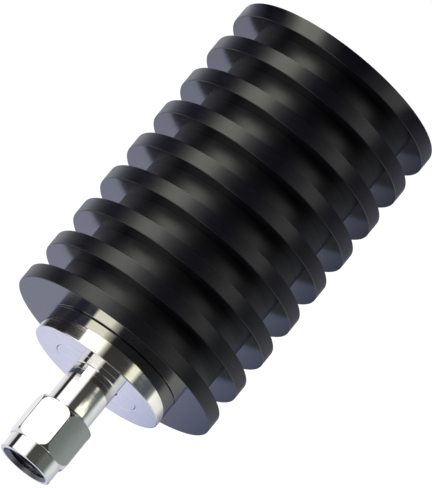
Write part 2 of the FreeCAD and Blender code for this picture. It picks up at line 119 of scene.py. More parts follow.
class TerminatorSizes(bpy.types.PropertyGroup):
    """Radii, lengths and edge roundings. Heights along the axis come from the frame."""

    fin_count: IntProperty(name="Fins", description="Fins on the heat sink", default=9, min=2)
    fin_thickness: length("Fin Thickness", 2.25, "Thickness of a fin")
    fin_edge: length("Fin Edge", 0.12, "Rounding of a fin's rim")
    core_radius: length("Core Radius", 12.0, "Radius of the core between the fins")
    spigot_radius: length("Spigot Radius", 8.5, "Radius of the flange's spigot")
    spigot_length: length("Spigot Length", 5.0, "Length of the flange's spigot")
    chamber_radius: length("Chamber Radius", 8.0, "Radius of the heat sink's chamber")
    chamber_depth: length("Chamber Depth", 23.0, "Depth of the heat sink's chamber")
    flange_edge: length("Flange Edge", 0.12, "Rounding of the flange's front rim")
    flange_foot: length("Flange Foot", 0.15, "Rounding of the flange's rim at the heat sink")
    base_radius: length("Base Radius", 6.35, "Radius of the connector's base")
    base_thickness: length("Base Thickness", 2.0, "Thickness of the connector's base")
    joint_edge: length("Joint Edge", 0.08, "Rounding on each side of the joint round the base")
    fit_gap: length("Fit Gap", 0.02, "Radial gap of a close fit")
    tail_radius: length("Tail Radius", 2.8, "Radius of the connector's tail")
    neck_radius: length("Neck Radius", 3.32, "Radius of the neck")
    neck_edge: length("Neck Edge", 0.15, "Rounding of the neck's shoulder and root")
    nut_gap: length("Nut Gap", 0.1, "Gap between the nut and the neck's shoulder")
    journal_radius: length("Journal Radius", 2.75, "Radius of the journal under the nut")
    line_radius: length("Line Radius", 2.05, "Inner radius of the coaxial line")
    ferrule_edge: length("Ferrule Edge", 0.08, "Rounding of the ferrule's rim")
    gasket_edge: length("Gasket Edge", 0.12, "Rounding of the soft ring")
    insulator_edge: length("Insulator Edge", 0.05, "Rounding of the insulator's rim")
    conductor_radius: length("Conductor Radius", 0.635, "Radius of the inner line")
    pin_radius: length("Pin Radius", 0.455, "Radius of the pin")
    pin_taper: length("Pin Taper", 0.45, "Length of the pin's tapered tip")
    pin_tip: length("Pin Tip", 0.2, "Radius of the pin's blunt tip")
    pin_socket: length("Pin Socket", 0.37, "Radius of the socket in the pin's tail")
    socket_depth: length("Socket Depth", 1.62, "Depth of the socket in the pin's tail")
    nut_flats: length("Nut Flats", 8.0, "Distance across the nut's flats")
    nut_rear_radius: length("Nut Rear Radius", 3.75, "Radius of the nut's flat rear face")
    nut_rear_bevel: length("Nut Rear Bevel", 1.3, "Length of the rounded bevel at the rear corners")
    nut_front_bevel: length("Nut Front Bevel", 1.1, "Length of the rounded bevel at the front corners")
    nut_edge: length("Nut Edge", 0.06, "Rounding round each flat")
    flat_crown: length("Flat Crown", 0.03, "Slight bulge of each polished flat")
    barrel_radius: length("Barrel Radius", 3.9, "Radius of the nut's round barrel")
    barrel_length: length("Barrel Length", 2.3, "Length of the nut's round barrel")
    barrel_edge: length("Barrel Edge", 0.12, "Rounding of the barrel's rim")
    thread_crest: length("Thread Crest", 2.86, "Radius at the thread's crests")
    thread_root: length("Thread Root", 3.17, "Radius at the thread's roots")
    thread_pitch: length("Thread Pitch", 0.7056, "Advance of the thread in one turn")
    mouth_radius: length("Mouth Radius", 3.4, "Radius of the nut's mouth")
    mouth_depth: length("Mouth Depth", 0.55, "Depth of the bevel in the nut's mouth")
    lip_radius: length("Lip Radius", 2.8, "Radius of the nut's bore on the journal")
    lip_length: length("Lip Length", 2.2, "Length of the nut's bore on the journal")
    relief_radius: length("Relief Radius", 3.25, "Radius of the room behind the thread")
    relief_length: length("Relief Length", 1.8, "Length of the room behind the thread")
    ring_groove: length("Ring Groove", 3.125, "Radius of the snap ring's groove in the nut")
    ring_seat: length("Ring Seat", 2.425, "Radius of the snap ring's groove in the journal")
    ring_play: length("Ring Play", 0.1, "Room beside the snap ring")
    corner_share: share("Corner Share", 0.99, "Turned corner over the full corner of the hexagon")
    nut_turn: angle("Nut Turn", 8.0, "Turn of the hexagon from the camera's side")
    segments: IntProperty(name="Segments", description="Flat strips round a turned piece",
                          default=288, min=48, max=720)


class TerminatorFinish(bpy.types.PropertyGroup):
    """Colours and gloss of the pieces, and the painted shade inside the nut's bore."""

    black: tint("Anodised Black", (0.0028, 0.0028, 0.0045), "Dyed oxide on the heat sink")
    side_gloss: share("Rim Roughness", 0.28, "Roughness of the fins' rims")
    core_gloss: share("Core Roughness", 0.34, "Roughness of the core between the fins")
    face_gloss: share("Fin Roughness", 0.12, "Roughness of the fins' flat faces")
    nickel: tint("Nickel", (0.83, 0.82, 0.79), "Bright plate on the flange, the connector and the nut")
    nickel_gloss: share("Nickel Roughness", 0.05, "Roughness of the bright plate")
    # The bore's dark colour is painted shade inside the nut's bore; only its roughness stands for a
    # duller plate there
    bore: tint("Bore Painted Shade", (0.16, 0.16, 0.18), "Thin plate inside the nut's bore")
    bore_gloss: share("Bore Roughness", 0.32, "Roughness of the plate inside the nut's bore")


class TerminatorStage(bpy.types.PropertyGroup):
    """Where the camera stands, and how bright the stage is."""

    elevation: angle("Elevation", 15.373, "Camera above the level of its target")
    roll: angle("Roll", 140.661, "Turn of the camera about its own view line")
    distance: length("Distance", 826.6, "Camera to its target on the axis")
    lens: level("Lens", 471.5, "Focal length in millimetres")
    target: length("Target", 23.5, "Height of the camera's target on the axis")
    pan_right: length("Pan Right", 1.442, "Target right of the picture's middle, at the target")
    pan_up: length("Pan Up", 3.375, "Target above the picture's middle, at the target")
    floor_colour: tint("Floor", (0.86, 0.86, 0.86), "Pale floor")
    room_level: level("Room", 0.55, "Brightness of the room for matt surfaces")
    far_colour: tint("Far Room", (0.67, 0.69, 0.90), "Pale room beyond the object, seen in its faces")
    far_dim: tint("Far Shade", (0.24, 0.29, 0.48), "Shaded strip in the room beyond the object")
    card_level: level("White Card", 1.5, "Brightness of the white card beside the object")
    floor_white: level("Floor White", 1.15, "Brightness of the floor as the camera sees it")
    key_power: FloatProperty(name="Key Lamp", description="Power of the soft lamp beside the camera",
                             default=3.0, min=0.0, unit="POWER")


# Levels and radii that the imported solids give
def low(node):
    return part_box(node)[0].z


def high(node):
    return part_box(node)[1].z


def reach(node):
    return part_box(node)[1].x


# Shapes
def rounded(corners, radii, steps=4):
    """Turns each corner of a closed outline into an arc that touches both of its sides.

    The arc's centre lies on the corner's bisector, radius / sin(half the corner's angle) away, and its
    points are spherical means of the two touching points about it. One more point beside each end
    keeps the side beyond it flat in its shading. The corners lie along the last axis but one, so a
    family of outlines is rounded at once. Radius 0 keeps one point.
    """
    radii = np.asarray(radii, float)[:, None]
    back = np.roll(corners, 1, axis=-2) - corners
    ahead = np.roll(corners, -1, axis=-2) - corners
    back /= np.linalg.norm(back, axis=-1, keepdims=True)
    ahead /= np.linalg.norm(ahead, axis=-1, keepdims=True)
    half = np.arccos(np.clip(np.sum(back * ahead, axis=-1, keepdims=True), -1, 1)) / 2
    centre = (back + ahead) / (2 * np.cos(half)) * radii / np.sin(half)
    touch = radii / np.tan(half)
    start = back * touch - centre
    end = ahead * touch - centre
    sweep = (math.pi - 2 * half)[..., None]
    along = np.linspace(0, 1, steps)[:, None]
    arc = np.sin((1 - along) * sweep) * start[..., None, :] + np.sin(along * sweep) * end[..., None, :]
    middle = (corners + centre)[..., None, :] + arc / np.sin(sweep)
    beside = touch + SUPPORT * radii
    before = (corners + back * beside)[..., None, :]
    after = (corners + ahead * beside)[..., None, :]
    points = np.concatenate([before, middle, after], axis=-2)
    points = points.reshape(*corners.shape[:-2], -1, 2)
    kept = ((np.arange(steps + 2) == 1) | (radii > 0)).ravel()
    return points[..., kept, :]


def turned(outline, angles):
    """Carries an outline of radius r and height z round Z: at the angle a it is (r cos a, r sin a, z).

    The outline is one for all angles, or one for each angle.
    """
    radius = outline[..., 0]
    x = np.cos(angles)[:, None] * radius
    y = np.sin(angles)[:, None] * radius
    return np.stack([x, y, np.broadcast_to(outline[..., 1], x.shape)], axis=-1)


def even_angles(count):
    return np.arange(count) * FULL_TURN / count


def ring_mesh(points):
    """A closed mesh from a grid of points that joins itself both ways, with coincident points merged."""
    columns, rows = points.shape[:2]
    index = np.arange(columns * rows).reshape(columns, rows)
    beside = np.roll(index, -1, axis=0)
    faces = np.stack([index, beside, np.roll(beside, -1, axis=1), np.roll(index, -1, axis=1)], axis=-1)
    mesh = bpy.data.meshes.new("ring")
    mesh.from_pydata(points.reshape(-1, 3).tolist(), [], faces.reshape(-1, 4).tolist())
    work = bmesh.new()
    work.from_mesh(mesh)
    bmesh.ops.remove_doubles(work, verts=work.verts, dist=WELD)
    bare = [edge for edge in work.edges if not edge.link_faces]
    bmesh.ops.delete(work, geom=bare, context="EDGES")
    work.to_mesh(mesh)
    work.free()
    return mesh


def linked(name, data):
    piece = bpy.data.objects.new(name, data)
    bpy.context.scene.collection.objects.link(piece)
    return piece


def make_piece(node, mesh, finish, body="terminator"):
    """A finished piece in place of a node: evenly shaded, in its material and on its body."""
    mesh.name = f"{node}_finish"
    mesh.materials.append(finish)
    mesh.shade_smooth()
    mesh.set_sharp_from_angle(angle=SHARP_ANGLE)
    piece = linked(mesh.name, mesh)
    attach(piece, body)
    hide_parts(node)


def turned_mesh(outline, segments):
    """A mesh turned from rows of radius, height and corner rounding that run up its outside."""
    outline = np.array(outline, float)
    return ring_mesh(turned(rounded(outline[:, :2], outline[:, 2]), even_angles(segments)))


def heat_sink_mesh(sizes):
    """The core with its chamber and a row of equal fins, four corners for each, one above another."""
    top = high("heat_sink")
    rim = reach("heat_sink")
    pitch = (top - sizes.fin_thickness) / (sizes.fin_count - 1)
    rear = np.arange(sizes.fin_count)[:, None] * pitch
    radius = np.array([sizes.core_radius, rim, rim, sizes.core_radius])
    height = np.array([0, 0, sizes.fin_thickness, sizes.fin_thickness]) + rear
    edge = np.array([0, sizes.fin_edge, sizes.fin_edge, 0])
    fins = np.stack([np.broadcast_to(radius, height.shape), height,
                     np.broadcast_to(edge, height.shape)], axis=-1).reshape(-1, 3)
    thread_radius = sizes.spigot_radius + sizes.fit_gap
    spigot_rear = top - sizes.spigot_length
    chamber_floor = top - sizes.chamber_depth
    outline = [(0, 0, 0)] + fins[1:-1].tolist() + [
        (thread_radius, top, 0),
        (thread_radius, spigot_rear, 0),
        (sizes.chamber_radius, spigot_rear, 0),
        (sizes.chamber_radius, chamber_floor, 0),
        (0, chamber_floor, 0),
    ]
    return turned_mesh(outline, sizes.segments)


def load_body_mesh(sizes):
    """The turned flange and spigot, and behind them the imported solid's own shelf, closed in front."""
    face = high("load_body")
    rim = reach("load_body")
    sink_top = high("heat_sink")
    spigot_rear = sink_top - sizes.spigot_length
    base_rear = face - sizes.base_thickness
    base_seat = sizes.base_radius + sizes.fit_gap
    tail_seat = sizes.tail_radius + sizes.fit_gap
    tail_rear = low("connector_body")
    mesh = turned_mesh([
        (sizes.line_radius, spigot_rear, 0),
        (sizes.spigot_radius, spigot_rear, 0),
        (sizes.spigot_radius, sink_top, 0),
        (rim, sink_top, sizes.flange_foot),
        (rim, face, sizes.flange_edge),
        (base_seat, face, sizes.joint_edge),
        (base_seat, base_rear, 0),
        (tail_seat, base_rear, 0),
        (tail_seat, tail_rear, 0),
        (sizes.line_radius, tail_rear, 0),
    ], sizes.segments)
    shelf = bmesh.new()
    shelf.from_mesh(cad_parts["load_body"].data)
    bmesh.ops.remove_doubles(shelf, verts=shelf.verts, dist=WELD)
    behind = spigot_rear - WELD
    spare = [point for point in shelf.verts
             if all(corner.co.z > behind for edge in point.link_edges for corner in edge.verts)]
    bmesh.ops.delete(shelf, geom=spare, context="VERTS")
    flat = [side for side in shelf.faces if all(corner.co.z > behind for corner in side.verts)]
    bmesh.ops.delete(shelf, geom=flat, context="FACES")
    bmesh.ops.holes_fill(shelf, edges=[edge for edge in shelf.edges if edge.is_boundary])
    shelf.from_mesh(mesh)
    shelf.to_mesh(mesh)
    shelf.free()
    return mesh


def connector_mesh(sizes):
    """Base, neck, journal and the snap ring's groove, with the coaxial line's bore through them."""
    rear = low("connector_body")
    top = high("connector_body")
    face = high("load_body")
    base_rear = face - sizes.base_thickness
    neck_top = low("coupling_nut") - sizes.nut_gap
    ferrule_rear = low("outer_ferrule")
    ferrule_seat = reach("outer_ferrule") + sizes.fit_gap
    groove_rear = low("snap_ring") - sizes.ring_play
    groove_front = high("snap_ring") + sizes.ring_play
    return turned_mesh([
        (sizes.line_radius, rear, 0),
        (sizes.tail_radius, rear, 0),
        (sizes.tail_radius, base_rear, 0),
        (sizes.base_radius, base_rear, 0),
        (sizes.base_radius, face, sizes.joint_edge),
        (sizes.neck_radius, face, sizes.neck_edge),
        (sizes.neck_radius, neck_top, sizes.neck_edge),
        (sizes.journal_radius, neck_top, 0),
        (sizes.journal_radius, groove_rear, 0),
        (sizes.ring_seat, groove_rear, 0),
        (sizes.ring_seat, groove_front, 0),
        (sizes.journal_radius, groove_front, 0),
        (sizes.journal_radius, top, 0),
        (ferrule_seat, top, 0),
        (ferrule_seat, ferrule_rear, 0),
        (sizes.line_radius, ferrule_rear, 0),
    ], sizes.segments)


def tube_mesh(node, inner, edges, segments):
    """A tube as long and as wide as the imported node, with a rounding for each of its four edges."""
    rim = reach(node)
    height = (low(node), low(node), high(node), high(node))
    return turned_mesh(list(zip((inner, rim, rim, inner), height, edges)), segments)


def ferrule_mesh(sizes):
    edge = sizes.ferrule_edge
    return tube_mesh("outer_ferrule", sizes.line_radius, (0, 0, edge, edge / 2), sizes.segments)


def gasket_mesh(sizes):
    inner = reach("outer_ferrule") + sizes.fit_gap
    return tube_mesh("sealing_gasket", inner, 4 * (sizes.gasket_edge,), sizes.segments)


def insulator_mesh(sizes):
    inner = sizes.conductor_radius + sizes.fit_gap
    edge = sizes.insulator_edge
    return tube_mesh("front_insulator", inner, (0, 0, edge, edge), sizes.segments)


def pin_mesh(sizes):
    """The pin with its tapered tip, and the socket in its tail."""
    rear = low("centre_pin")
    face = high("outer_ferrule")
    end = high("centre_pin")
    socket_end = rear + sizes.socket_depth
    return turned_mesh([
        (sizes.pin_socket, rear, 0),
        (sizes.conductor_radius, rear, 0),
        (sizes.conductor_radius, face, 0),
        (sizes.pin_radius, face, 0),
        (sizes.pin_radius, end - sizes.pin_taper, sizes.pin_tip),
        (sizes.pin_tip, end, sizes.pin_tip / 4),
        (0, end, 0),
        (0, socket_end, 0),
        (sizes.pin_socket, socket_end, 0),
    ], sizes.segments // 3)


def with_edges(angles, narrow):
    """Even angles, with one more close to each end, so that a strip beside an edge is narrow."""
    return np.concatenate([angles[:1], [angles[0] + narrow], angles[1:-1],
                           [angles[-1] - narrow], angles[-1:]])


def bevel_rows(inner, level, outer, depth):
    """Rows of a rounded bevel from an inner radius at a level out to the hexagon's radius.

    The bevel is a quarter of an ellipse that runs into the full corner. Its angle a starts at 0: the
    radius is inner + (corner - inner) * sin a, and it leaves the level by depth * (1 - cos a).
    """
    width = outer.max() - inner
    turn = np.arcsin((outer - inner) / width)[:, None] * np.array(BEVEL_STEPS)
    return np.stack([inner + width * np.sin(turn), level + depth * (1 - np.cos(turn))], axis=-1)


def nut_mesh(sizes, flat_steps=36, land_steps=4, thread_rows=144, edge_steps=4):
    """The nut, worked out as one outline for each angle round its axis.

    At the angle a from a flat's middle the hexagon's radius is half the flats over cos a, cut off at
    the turned corner, and a slight crown is added that falls off with (a / flat's end)^2. The
    rounded bevels end where they meet that radius. The thread's wall is a triangular wave of
    (height / pitch - angle / full turn) with flat crests and roots, and the mouth is a cone: the
    radius is the greater of the two.
    """
    rear = low("coupling_nut")
    front = high("coupling_nut")
    half_flats = sizes.nut_flats / 2
    side_angle = FULL_TURN / HEX_SIDES
    corner = half_flats / math.cos(side_angle / 2) * sizes.corner_share
    flat_end = math.acos(half_flats / corner)
    across_flat = with_edges(np.linspace(-flat_end, flat_end, flat_steps + 1), FLAT_STRIP)
    across_land = np.linspace(flat_end, side_angle - flat_end, land_steps + 1)
    across_land = with_edges(across_land, LAND_STRIP)[1:-1]
    local = np.tile(np.concatenate([across_flat, across_land]), HEX_SIDES)
    first_flat = NEAR_SIDE - sizes.nut_turn + side_angle / 2
    angles = local + np.repeat(np.arange(HEX_SIDES), len(local) // HEX_SIDES) * side_angle + first_flat
    crown = sizes.flat_crown * np.clip(1 - (local / flat_end) ** 2, 0, 1)
    middle = np.minimum(half_flats / np.cos(local), corner) + crown

    barrel_start = front - sizes.barrel_length
    rear_bevel = bevel_rows(sizes.nut_rear_radius, rear, middle, sizes.nut_rear_bevel)
    front_bevel = bevel_rows(sizes.barrel_radius, barrel_start, middle, -sizes.nut_front_bevel)
    plain = [(sizes.lip_radius, rear), (sizes.barrel_radius, front), (sizes.mouth_radius, front)]
    lip, barrel_rim, mouth_rim = np.broadcast_to(np.array(plain)[:, None, None], (3, len(local), 1, 2))
    corners = np.concatenate([lip, rear_bevel, front_bevel[:, ::-1], barrel_rim, mouth_rim], axis=1)
    edges = np.zeros(corners.shape[1])
    rear_end = rear_bevel.shape[1]
    edges[rear_end] = sizes.nut_edge
    edges[rear_end + 1] = sizes.nut_edge / 2
    edges[-2] = sizes.barrel_edge
    outer = rounded(corners, edges, edge_steps)

    lip_top = rear + sizes.lip_length
    relief_top = lip_top + sizes.relief_length
    height = np.linspace(front, relief_top, thread_rows)[None, 1:]
    phase = (height / sizes.thread_pitch - angles[:, None] / FULL_TURN) % 1
    wave = np.clip((np.abs(2 * phase - 1) - THREAD_FLAT) / (1 - 2 * THREAD_FLAT), 0, 1)
    thread = sizes.thread_crest + (sizes.thread_root - sizes.thread_crest) * wave
    cone_slope = (sizes.mouth_radius - sizes.thread_crest) / sizes.mouth_depth
    mouth = sizes.mouth_radius - cone_slope * (front - height)
    wall = np.maximum(thread, mouth)
    inner = np.stack([wall, np.broadcast_to(height, wall.shape)], axis=-1)

    groove_rear = low("snap_ring") - sizes.ring_play
    groove_front = high("snap_ring") + sizes.ring_play
    behind = np.array([
        (sizes.relief_radius, relief_top),
        (sizes.relief_radius, lip_top),
        (sizes.lip_radius, lip_top),
        (sizes.lip_radius, groove_front),
        (sizes.ring_groove, groove_front),
        (sizes.ring_groove, groove_rear),
        (sizes.lip_radius, groove_rear),
    ])
    bore = np.broadcast_to(behind, (len(angles), *behind.shape))
    return ring_mesh(turned(np.concatenate([outer, inner, bore], axis=1), angles))


# Steps that the materials share
def add(material, kind, **settings):
    node = material.node_tree.nodes.new(kind)
    for name, value in settings.items():
        setattr(node, name, value)
    return node


def feed(material, socket, value):
    """Links a socket to another node's output, or gives it a plain value."""
    if isinstance(value, bpy.types.NodeSocket):
        material.node_tree.links.new(value, socket)
    else:
        socket.default_value = value


def sum_up(material, operation, *values):
    node = add(material, "ShaderNodeMath", operation=operation)
    for socket, value in zip(node.inputs, values):
        feed(material, socket, value)
    return node.outputs[0]


def combine(material, operation, first, second=(0, 0, 0)):
    node = add(material, "ShaderNodeVectorMath", operation=operation)
    feed(material, node.inputs[0], first)
    feed(material, node.inputs[3 if operation == "SCALE" else 1], second)
    return node.outputs["Value" if operation == "LENGTH" else "Vector"]


def noise(material, vector, scale, detail=2.0):
    node = add(material, "ShaderNodeTexNoise")
    feed(material, node.inputs["Vector"], vector)
    node.inputs["Scale"].default_value = scale
    node.inputs["Detail"].default_value = detail
    return node.outputs["Fac"]


def between(material, value, start, end, first, last):
    """The value from start to end, as a number from first to last."""
    node = add(material, "ShaderNodeMapRange")
    for name, entry in (("Value", value), ("From Min", start), ("From Max", end),
                        ("To Min", first), ("To Max", last)):
        feed(material, node.inputs[name], entry)
    return node.outputs["Result"]


def ramp(material, value, stops):
    """A run of colours along the value. Each stop is a place from 0 to 1 and a colour."""
    node = add(material, "ShaderNodeValToRGB")
    feed(material, node.inputs["Fac"], value)
    elements = node.color_ramp.elements
    elements.remove(elements[-1])
    for index, (place, colour) in enumerate(stops):
        element = elements[0] if index == 0 else elements.new(place)
        element.position = place
        element.color = (*colour, 1.0)
    return node.outputs["Color"]


def mixed(material, factor, first, second):
    node = add(material, "ShaderNodeMix", data_type="RGBA")
    feed(material, node.inputs["Factor"], factor)
    feed(material, node.inputs["A"], first)
    feed(material, node.inputs["B"], second)
    return node.outputs["Result"]


def blended(material, factor, first, second):
    """One shader where the factor is 0, turning into another where it is 1."""
    node = add(material, "ShaderNodeMixShader")
    for socket, value in zip(node.inputs, (factor, first, second)):
        feed(material, socket, value)
    return node.outputs[0]


def object_place(material):
    return add(material, "ShaderNodeTexCoord").outputs["Object"]


def along_axes(material, vector):
    """The sockets of a vector's X, Y and Z."""
    split = add(material, "ShaderNodeSeparateXYZ")
    feed(material, split.inputs[0], vector)
    return split.outputs


def radius_of(material, place):
    return combine(material, "LENGTH", combine(material, "MULTIPLY", place, (1, 1, 0)))


def lathe_place(material, drift=0.02):
    """Radius and height: a pattern runs round the axis as a tool's marks do, with a slight drift."""
    place = object_place(material)
    rings = add(material, "ShaderNodeCombineXYZ")
    feed(material, rings.inputs["X"], radius_of(material, place))
    feed(material, rings.inputs["Y"], along_axes(material, place)["Z"])
    return combine(material, "ADD", rings.outputs[0], combine(material, "SCALE", place, drift))


def new_finish(name, metallic=0.0):
    material = bpy.data.materials.new(name)
    material.use_nodes = True
    shader = material.node_tree.nodes["Principled BSDF"]
    shader.inputs["Metallic"].default_value = metallic
    shader.inputs["IOR"].default_value = 1.5
    return material, shader


def raise_surface(material, shader, height, depth):
    bump = add(material, "ShaderNodeBump")
    bump.inputs["Strength"].default_value = 1.0
    bump.inputs["Distance"].default_value = depth
    feed(material, bump.inputs["Height"], height)
    feed(material, shader.inputs["Normal"], bump.outputs["Normal"])


def shaded(colour, factor):
    return tuple(min(1.0, channel * factor) for channel in colour)


# Grains per metre of the turning marks and of the clouds in a finish, and the marks' depth in metres
BLACK_MARKS = 7000
BLACK_CLOUDS = 260
NICKEL_MARKS = 9000
NICKEL_CLOUDS = 700
MARK_DEPTH = 0.2e-6

# How far outside the core, and outside the nut's bore, the duller finish ends, as shares of the radius.
# Inside the bore this finish also holds painted shade
CORE_BORDER = (1.02, 1.06)
BORE_BORDER = 1.015


# Materials
def anodised_black(finish, core_radius):
    """Dyed anodised aluminium: satin rims with turning marks, smoother faces and a duller core."""
    material, shader = new_finish("anodised black")
    marks = noise(material, lathe_place(material), BLACK_MARKS, detail=3.0)
    clouds = noise(material, object_place(material), BLACK_CLOUDS)
    stops = [(0.3, shaded(finish.black, 0.8)), (0.7, shaded(finish.black, 1.25))]
    feed(material, shader.inputs["Base Color"], ramp(material, clouds, stops))
    normal = add(material, "ShaderNodeTexCoord").outputs["Normal"]
    flatness = sum_up(material, "ABSOLUTE", along_axes(material, normal)["Z"])
    radius = radius_of(material, object_place(material))
    start, end = (core_radius * border for border in CORE_BORDER)
    side = between(material, radius, start, end, finish.core_gloss, finish.side_gloss)
    base = between(material, flatness, 0.5, 0.95, side, finish.face_gloss)
    wear = between(material, marks, 0.3, 0.7, -0.015, 0.015)
    feed(material, shader.inputs["Roughness"], sum_up(material, "ADD", base, wear))
    raise_surface(material, shader, marks, MARK_DEPTH)
    return material


def bright_nickel(name, finish, bore_radius=None):
    """Bright nickel plate over turned brass: nearly a mirror, with faint marks that run round the axis.

    Inside a bore's radius the plate is rougher, as a duller plate, and its dark colour there is painted
    shade.
    """
    material, shader = new_finish(name, metallic=1.0)
    marks = noise(material, lathe_place(material), NICKEL_MARKS, detail=3.0)
    clouds = noise(material, object_place(material), NICKEL_CLOUDS)
    stops = [(0.3, shaded(finish.nickel, 0.96)), (0.7, shaded(finish.nickel, 1.03))]
    colour = ramp(material, clouds, stops)
    gloss = between(material, marks, 0.35, 0.75, finish.nickel_gloss * 0.6, finish.nickel_gloss * 1.6)
    if bore_radius:
        # Inside the bore the colour turns dark as painted shade, and the roughness rises for a duller
        # plate
        radius = radius_of(material, object_place(material))
        outside = between(material, radius, bore_radius, bore_radius * BORE_BORDER, 0, 1)
        colour = mixed(material, outside, (*finish.bore, 1.0), colour)
        gloss = between(material, outside, 0, 1, finish.bore_gloss, gloss)
    feed(material, shader.inputs["Base Color"], colour)
    feed(material, shader.inputs["Roughness"], gloss)
    raise_surface(material, shader, marks, MARK_DEPTH)
    return material


def plain_finish(name, colour, metallic, roughness, grain, depth):
    """A surface with an even grain: it varies the colour, the gloss and the height together."""
    material, shader = new_finish(name, metallic=metallic)
    pattern = noise(material, object_place(material), grain, detail=4.0)
    stops = [(0.3, shaded(colour, 0.9)), (0.7, shaded(colour, 1.06))]
    feed(material, shader.inputs["Base Color"], ramp(material, pattern, stops))
    feed(material, shader.inputs["Roughness"],
         between(material, pattern, 0.3, 0.7, roughness * 0.85, roughness * 1.15))
    raise_surface(material, shader, pattern, depth)
    return material


# Finishes with an even grain: colour, metal share, roughness, grain per metre and its depth in metres
GRAINED = {
    "white fluoropolymer": ((0.86, 0.86, 0.83), 0.0, 0.42, 2500, 2e-6),
    "gold plate": ((0.94, 0.70, 0.30), 1.0, 0.16, 6000, 6e-7),
    "silicone rubber": ((0.42, 0.06, 0.04), 0.0, 0.55, 4000, 3e-6),
    "spring bronze": ((0.62, 0.44, 0.26), 1.0, 0.28, 5000, 1e-6),
    "plated copper": ((0.78, 0.76, 0.72), 1.0, 0.22, 3000, 1e-6),
    "graphite foil": ((0.06, 0.06, 0.07), 0.0, 0.50, 5000, 2e-6),
    "white ceramic": ((0.85, 0.84, 0.81), 0.0, 0.38, 4500, 2e-6),
    "resistive film": ((0.10, 0.09, 0.09), 0.3, 0.35, 5500, 1e-6),
    "silver plate": ((0.88, 0.87, 0.84), 1.0, 0.20, 5000, 8e-7),
    "bright steel": ((0.60, 0.60, 0.61), 1.0, 0.24, 6000, 1e-6),
}

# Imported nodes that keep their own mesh, under the finish that they get
INNER_NODES = {
    "spring bronze": ("snap_ring",),
    "white fluoropolymer": ("rear_insulator",),
    "gold plate": ("inner_conductor",),
    "plated copper": ("resistor_plate",),
    "graphite foil": ("thermal_foil",),
    "white ceramic": ("resistor_substrate", "resistor_cover"),
    "resistive film": ("resistor_film",),
    "silver plate": ("input_electrode", "ground_electrode", "input_tab"),
    "bright steel": ("plate_screw_left", "plate_screw_right", "screw_washer_left", "screw_washer_right"),
}


def grained(name):
    return bpy.data.materials.get(name) or plain_finish(name, *GRAINED[name])


class TERMINATOR_OT_heat_sink(bpy.types.Operator):
    """Turn the black finned heat sink"""

    bl_idname = "terminator.heat_sink"
    bl_label = "Heat Sink"

    def execute(self, context):
        sizes = context.scene.terminator_sizes
        finish = anodised_black(context.scene.terminator_finish, sizes.core_radius)
        make_piece("heat_sink", heat_sink_mesh(sizes), finish)
        return {"FINISHED"}


class TERMINATOR_OT_connector(bpy.types.Operator):
    """Turn the bright flange with its spigot, and the connector body let into it"""

    bl_idname = "terminator.connector"
    bl_label = "Flange and Connector Body"

    def execute(self, context):
        sizes = context.scene.terminator_sizes
        finish = bright_nickel("bright nickel", context.scene.terminator_finish)
        make_piece("load_body", load_body_mesh(sizes), finish)
        make_piece("connector_body", connector_mesh(sizes), finish)
        make_piece("outer_ferrule", ferrule_mesh(sizes), finish)
        return {"FINISHED"}


class TERMINATOR_OT_coaxial_line(bpy.types.Operator):
    """Turn what shows inside the nut: the soft ring, the insulator and the pin"""

    bl_idname = "terminator.coaxial_line"
    bl_label = "Coaxial Line"

    def execute(self, context):
        sizes = context.scene.terminator_sizes
        make_piece("sealing_gasket", gasket_mesh(sizes), grained("silicone rubber"))
        make_piece("front_insulator", insulator_mesh(sizes), grained("white fluoropolymer"))
        make_piece("centre_pin", pin_mesh(sizes), grained("gold plate"))
        return {"FINISHED"}


class TERMINATOR_OT_coupling_nut(bpy.types.Operator):
    """Make the hexagon nut with its thread"""

    bl_idname = "terminator.coupling_nut"
    bl_label = "Coupling Nut"

    def execute(self, context):
        sizes = context.scene.terminator_sizes
        # The nut's finish paints shade inside its bore
        finish = bright_nickel("bright nickel nut with painted bore shade", context.scene.terminator_finish, sizes.mouth_radius)
        make_piece("coupling_nut", nut_mesh(sizes), finish, "coupling_nut")
        return {"FINISHED"}


class TERMINATOR_OT_inner_pieces(bpy.types.Operator):
    """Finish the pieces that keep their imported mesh: the resistor, its screws and the hidden line"""

    bl_idname = "terminator.inner_pieces"
    bl_label = "Inner Pieces"

    def execute(self, context):
        for finish, nodes in INNER_NODES.items():
            for node in nodes:
                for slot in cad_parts[node].material_slots:
                    slot.material = grained(finish)
        return {"FINISHED"}


# Cards on the floor round the object, for its bright sides to mirror: an azimuth in degrees from -Y
# towards +X, and the colour there as a share of the white card. The fins mirror the inner ring, the
# flange the middle one, and the neck and the nut the outer one. The colours of the five tables below,
# and of the flame, were worked out from colours read off the photo along the object's rings.
FIN_CARDS = (
    (-180, 0.22, 0.22, 0.25),
    (-153, 0.14, 0.14, 0.17),
    (-128, 0.22, 0.22, 0.26),
    (-103, 0.17, 0.17, 0.21),
    (-82, 0.07, 0.07, 0.09),
    (-67, 0.12, 0.12, 0.12),
    (-58, 0.62, 0.62, 0.6),
    (-45, 0.62, 0.62, 0.6),
    (-34, 0.26, 0.26, 0.26),
    (-11, 0.02, 0.02, 0.04),
    (15, 0.0, 0.0, 0.02),
    (32, 0.45, 0.46, 0.45),
    (41, 2.3, 2.35, 2.1),
    (60, 2.4, 2.45, 2.2),
    (71, 0.7, 0.7, 0.64),
    (82, 0.06, 0.06, 0.08),
    (105, 0.01, 0.01, 0.03),
    (124, 0.2, 0.2, 0.28),
    (145, 0.62, 0.62, 0.74),
    (180, 0.16, 0.16, 0.18),
)
